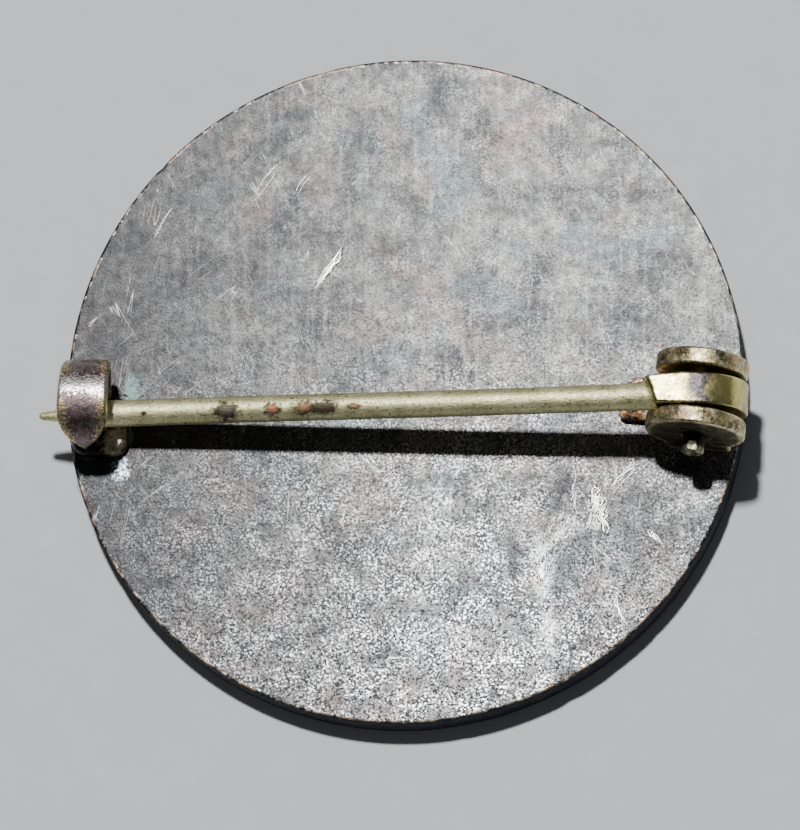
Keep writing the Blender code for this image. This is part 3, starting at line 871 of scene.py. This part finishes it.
def base_outline(margin=0.0):
    """Bracket base under both ears, with a tongue that reaches out below the pin."""
    half_width = EAR_GAP / 2 + EAR_THICKNESS + margin
    bottom = 0.15 * MM - half_width
    right = BASE_LENGTH / 2 - 0.1 * MM + margin * 0.4
    left = -BASE_LENGTH / 2 - margin
    tip = -TONGUE_REACH - margin
    low = TONGUE_LOW - margin
    high = TONGUE_HIGH + margin
    notch = 0.3 * MM
    return [
        (right, bottom + notch),
        (right, half_width - notch),
        (right - notch, half_width),
        (left + notch, half_width),
        (left, half_width - notch),
        (left, high),
        (tip + 2.5 * notch, high),
        (tip, high - 2 * notch),
        (tip, low + notch / 2),
        (tip + notch / 2, low),
        (left, low),
        (left, bottom + notch),
        (left + notch, bottom),
        (right - notch, bottom),
    ]


def plate_rings(outline, low, high, edge):
    """Rings of a flat plate whose edges are rounded by a small inset at top and bottom."""
    middle = Vector((sum(x for x, _ in outline), sum(y for _, y in outline))) / len(outline)
    part = 0.3 * edge
    lower = [(edge, low), (part, low + part), (0, low + edge)]
    upper = [(0, high - edge), (part, high - part), (edge, high)]
    rings = []
    for inset, z in lower + upper:
        ring = []
        for x, y in outline:
            offset = Vector((x, y)) - middle
            ring.append(Vector((*(middle + offset - offset.normalized() * inset), z)))
        rings.append(ring)
    return rings


def hinge_base(material):
    """Bracket base, most ragged around its tongue."""
    outline = dense(base_outline(), 0.2 * MM)
    rings = plate_rings(outline, BRACKET_LOW.z, BRACKET_LOW.z + BASE_THICKNESS, 0.09 * MM)
    for ring in rings:
        for point in ring:
            ragged = 0.12 * MM if point.x < -BASE_LENGTH / 2 else 0.03 * MM
            point += Vector((point.x, point.y, 0)).normalized() * ripple(point, 0.5 * MM, ragged, 6)
    edge_marks = [[1.0 if k in (1, 4) else 0.2] * len(ring) for k, ring in enumerate(rings)]
    shape = skin(rings, {"edge": edge_marks})
    return place("hinge_base", shape, material, "badge", "hinge_brass", ["hinge_bracket"], foot_frame())


def eyed_slab(reach, thickness, bore, edge, dents=0.0, segments=144):
    """A slab around Y with a bore. Its outline lies at reach(angle) from the bore's axis.

    Marks: edge is 1 on the rounded corners, and side is 1 on the two flat faces.
    """
    half = thickness / 2
    steps = 5
    turns = [QUARTER * k / steps for k in range(steps, -1, -1)]
    rounding = [(edge * (1 - math.sin(a)), half - edge * (1 - math.cos(a))) for a in turns]
    profile = [(inset, -y, 1.0, 0.3) for inset, y in reversed(rounding)]
    profile += [(0, y, 0.0, 0.0) for y in (-half * 0.5, 0, half * 0.5)]
    profile += [(inset, y, 1.0, 0.3) for inset, y in rounding]
    rings = []
    edge_marks = []
    side_marks = []

    def add(ring, edge_mark, side_mark):
        rings.append(ring)
        edge_marks.append([edge_mark] * segments)
        side_marks.append([side_mark] * segments)

    def ring_at(distance, y):
        angles = (math.tau * k / segments for k in range(segments))
        return [Vector((distance(a) * math.cos(a), y, distance(a) * math.sin(a))) for a in angles]

    def add_flat(y, shares):
        for share in shares:
            add(ring_at(lambda a: (reach(a) - edge) * (1 - share) + bore * share, y), 0.0, 1.0)

    for inset, y, edge_mark, side_mark in profile:
        add(ring_at(lambda a: reach(a) - inset, y), edge_mark, side_mark)
    add_flat(half, (0.15, 0.45, 0.8, 1))
    add_flat(-half, (1, 0.8, 0.45, 0.15))
    for ring in rings:
        for point in ring:
            out = Vector((point.x, 0, point.z))
            if out.length > bore * 1.3:
                point += out.normalized() * ripple(point, 0.8 * MM, dents, 8)
    return skin(rings, {"edge": edge_marks, "side": side_marks}, closed=True)


def ear_reach(radius):
    """Distance from the bore to the edge of a round ear whose neck runs down into the base."""
    floor = HINGE_CENTRE.z - BRACKET_LOW.z - BASE_THICKNESS / 2

    def reach(angle):
        down = -math.sin(angle)
        if down <= 0.2:
            return radius
        neck = min(EAR_NECK_WIDTH / 2 / max(abs(math.cos(angle)), 1e-6), floor / down)
        return max(radius, neck)

    return reach


def knuckle_reach(angle):
    """Distance from the bore to the edge of the knuckle, which has one square corner."""
    face_end = math.pi + math.acos(KNUCKLE_REACH / KNUCKLE_RADIUS)
    if not QUARTER < angle < face_end:
        return KNUCKLE_RADIUS
    to_face = KNUCKLE_REACH / -math.cos(angle)
    to_top = KNUCKLE_RADIUS / math.sin(angle) if angle < math.pi else to_face
    return min(to_face, to_top)


def hinge_ear(name, side, radius, material):
    """Ear on the -Y (-1) or +Y (1) side of the knuckle."""
    bore = RIVET_RADIUS + SEAT_GAP
    shape = eyed_slab(ear_reach(radius), EAR_THICKNESS, bore, edge=0.14 * MM, dents=0.03 * MM)
    shift = Matrix.Translation((0, side * (EAR_GAP + EAR_THICKNESS) / 2, 0))
    return place(name, shape, material, "badge", "hinge_brass", ["hinge_bracket"], hinge_frame() @ shift)


def hinge_rivet(material):
    """Rivet whose lower tail is hammered into a shallow dimple, and whose head is a low dome."""
    segments = 36
    flatness = 0.05  # of the six flats on the tail
    round_edge = 0.14 * MM
    half_span = EAR_GAP / 2 + EAR_THICKNESS
    top = half_span + RIVET_HEAD
    bottom = -half_span - RIVET_TAIL
    inner = RIVET_RADIUS - round_edge
    dimple = [(0.1, 0.1 * MM), (0.45, 0.06 * MM), (0.7, 0)]
    profile = [(share * RIVET_RADIUS, bottom + depth) for share, depth in dimple]
    profile += arc((inner, bottom + round_edge), round_edge, -QUARTER, 0, 4)[1:]
    profile += [(RIVET_RADIUS, y) for y in (bottom + 0.25 * MM, bottom + 0.4 * MM, -half_span, 0, half_span)]
    profile += arc((inner, top - round_edge), round_edge, 0, QUARTER, 4)
    profile += [(0.3 * RIVET_RADIUS, top + 0.02 * MM)]
    rings = []
    bare = []
    for radius, y in profile:
        # Between the upper ear's outer face and 0.65 of the tail's length past the lower ear the mark is 0:
        # painted shadow, where the lower ear's shadow falls on the tail
        dark = -half_span - 0.65 * RIVET_TAIL < y < half_span
        bare.append([0.0 if dark else 1.0] * segments)
        ring = []
        for k in range(segments):
            angle = math.tau * k / segments
            swell = 1 + (flatness * math.cos(6 * angle) if y < -half_span else 0)
            ring.append(Vector((radius * swell * math.cos(angle), y, radius * swell * math.sin(angle))))
        rings.append(ring)
    shape = skin(rings, {"bare": bare})
    return place("rivet", shape, material, "badge", "rivet_steel", ["hinge_rivet"], hinge_frame())


# ---------------------------------------------------------------- pin


def pin_ends():
    """Ends of the wire's centre line, from the middles of the CAD wire's two end faces."""
    points = [vertex.co.copy() for vertex in frame["nodes"]["pin_stem"].data.vertices]
    low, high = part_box("pin_stem")
    near_tip = [p for p in points if p.x < low.x + 0.02 * MM]
    near_knuckle = [p for p in points if p.x > high.x - 0.1 * MM]
    return [sum(group, Vector()) / len(group) for group in (near_knuckle, near_tip)]


WIRE_START, WIRE_TIP = pin_ends()


def wire_point(x):
    """Point of the wire's centre line at a place along X."""
    share = (x - WIRE_START.x) / (WIRE_TIP.x - WIRE_START.x)
    return WIRE_START.lerp(WIRE_TIP, share)


def wire_top(x):
    """Point on top of the wire at a place along X."""
    return wire_point(x) + Vector((0, 0, WIRE_RADIUS))


def wire_radius(to_tip):
    """Thickness law of the wire: a straight taper that ends in a small round tip."""
    tapered = TIP_RADIUS + (WIRE_RADIUS - TIP_RADIUS) * min(1, to_tip / POINT_LENGTH)
    short = max(0, 1 - to_tip / TIP_RADIUS)
    return max(0.02 * MM, tapered * math.sqrt(1 - short**2))


def braze(from_knuckle, angle):
    """How far the braze at the knuckle swells the wire, most on its upper side."""
    upward = 0.5 - 0.5 * math.cos(angle)
    return 0.16 * MM * (0.15 + 0.85 * upward**2) * math.exp(-((from_knuckle / (0.6 * MM)) ** 2))


def wire(material):
    """Slightly wavy wire from the knuckle to its point, with rings closest at the point."""
    along = WIRE_TIP - WIRE_START
    length = along.length
    turn = along.to_track_quat("X", "Z").to_matrix()
    count = 150
    segments = 32
    rings = []
    for k in range(count + 1):
        station = length * (1 - (1 - k / count) ** 1.5)
        radius = wire_radius(length - station)
        ring = []
        for j in range(segments):
            angle = math.tau * j / segments
            offset = Vector((0, math.cos(angle), math.sin(angle)))
            point = Vector((station, 0, 0)) + offset * (radius + braze(station, angle))
            point.x -= (BUTT_SLANT * offset.y * radius + WIRE_OVERLAP) * max(0, 1 - station / MM)
            point += offset * ripple(point, 1.6 * MM, 0.018 * MM, 1)
            point.y += 0.03 * MM * math.sin(station / (5 * MM)) * min(1, (length - station) / POINT_LENGTH)
            ring.append(point)
        rings.append(ring)
    matrix = Matrix.Translation(WIRE_START) @ turn.to_4x4()
    return place("pin_wire", skin(rings), material, "pin", "pin_brass", ["pin_stem"], matrix)


def knuckle(material):
    """Knuckle with a slanted face for the wire, narrowed on its upper +Y side."""
    bore = RIVET_RADIUS + RUNNING_GAP
    shape = eyed_slab(knuckle_reach, KNUCKLE_WIDTH, bore, edge=0.12 * MM, dents=0.02 * MM)
    slant_start = 0.8 * MM
    slant_run = 1.5 * MM
    narrowing = 0.3
    for vert in shape.verts:
        past = min(1, max(0, (-vert.co.x - slant_start) / slant_run))
        vert.co.x -= BUTT_SLANT * vert.co.y * past
        if vert.co.y > 0 and vert.co.z > 0:
            vert.co.y -= narrowing * vert.co.y * past
    matrix = Matrix.Translation(HINGE_CENTRE) @ turned_out(*KNUCKLE_TURN)
    shift = Matrix.Translation((0, KNUCKLE_SHIFT, 0))
    return place("pin_eye", shape, material, "pin", "knuckle_brass", ["pin_knuckle"], matrix @ shift)


# ---------------------------------------------------------------- studio


CAMERA_OUT = Vector((0.098, -0.2195, 0.9707)).normalized()
CAMERA_AIM = Vector((-0.2267 * MM, -1.3811 * MM, BACK))
CAMERA_DISTANCE = 0.4
CAMERA_LENS = 337.8  # focal length in mm on a sensor 36 mm wide
FLOOR_HALF = 2.0
FLOOR_HEIGHT = -0.05 * MM


def camera():
    """Long-lens camera above the back, tipped a little towards the lower right."""
    right = Vector((0, 1, 0)).cross(CAMERA_OUT).normalized()
    matrix = Matrix((right, CAMERA_OUT.cross(right), CAMERA_OUT)).transposed().to_4x4()
    matrix.translation = CAMERA_AIM + CAMERA_OUT * CAMERA_DISTANCE
    lens = bpy.data.cameras.new("camera")
    lens.sensor_width = 36
    lens.lens = CAMERA_LENS
    lens.clip_start = 0.01
    seen = bpy.data.objects.new("camera", lens)
    seen.matrix_world = matrix
    bpy.context.collection.objects.link(seen)
    bpy.context.scene.camera = seen


def softbox(name, towards, distance, size, energy):
    """Square light in this direction from the origin, aimed at it."""
    light = bpy.data.lights.new(name, "AREA")
    light.size = size
    light.energy = energy
    lamp = bpy.data.objects.new(name, light)
    bpy.context.collection.objects.link(lamp)
    out = Vector(towards).normalized()
    lamp.location = out * distance
    lamp.rotation_euler = out.to_track_quat("Z", "Y").to_euler()


def studio():
    """Pale paper floor, one key light and a dim sky."""
    mesh = bpy.data.meshes.new("floor")
    signs = ((-1, -1), (1, -1), (1, 1), (-1, 1))
    corners = [(x * FLOOR_HALF, y * FLOOR_HALF, FLOOR_HEIGHT) for x, y in signs]
    mesh.from_pydata(corners, [], [(0, 1, 2, 3)])
    floor = bpy.data.objects.new("floor", mesh)
    bpy.context.collection.objects.link(floor)
    paper = Surface("floor_paper", metallic=0.0)
    tone = paper.mix(paper.grain(3 * MM, 0.2, 0.8), (0.66, 0.67, 0.69), (0.7, 0.71, 0.73))
    mesh.materials.append(paper.finish(tone, paper.spread(paper.grain(1 * MM), 0, 1, 0.7, 0.8)))
    softbox("key", towards=(-0.06, 0.31, 0.95), distance=0.8, size=0.05, energy=7.0)
    world = bpy.data.worlds.new("studio")
    world.use_nodes = True
    background = world.node_tree.nodes["Background"]
    background.inputs["Color"].default_value = (0.9, 0.95, 1.0, 1.0)
    background.inputs["Strength"].default_value = 0.07
    bpy.context.scene.world = world


def build():
    """Make the camera, the studio and every piece."""
    camera()
    studio()
    badge_body(oxidised_copper(), wall_oxide_and_painted_shade())
    scratches(scratch_metal())
    plating = worn_plating()
    hook_strip(plating)
    hook_base(nub_brass())
    tin = old_solder()
    margin = Vector((0.25, 0.25)) * MM
    low = CATCH_BASE_LOW - margin * 0.6
    bed = rounded_rectangle(low, CATCH_BASE_HIGH + margin, CATCH_BASE_CORNER)
    solder_bed("hook_solder", bed, "catch_solder", tin)
    solder_bed("hinge_foot_solder", base_outline(0.1 * MM), "hinge_solder", tin, foot_frame())
    hinge_base(base_brass())
    brass = ear_brass()
    hinge_ear("hinge_ear_lower", -1, LOWER_EAR_RADIUS, brass)
    hinge_ear("hinge_ear_upper", 1, UPPER_EAR_RADIUS, brass)
    hinge_rivet(rivet_metal())
    knuckle(knuckle_brass())
    wire(satin_wire_brass())


build()
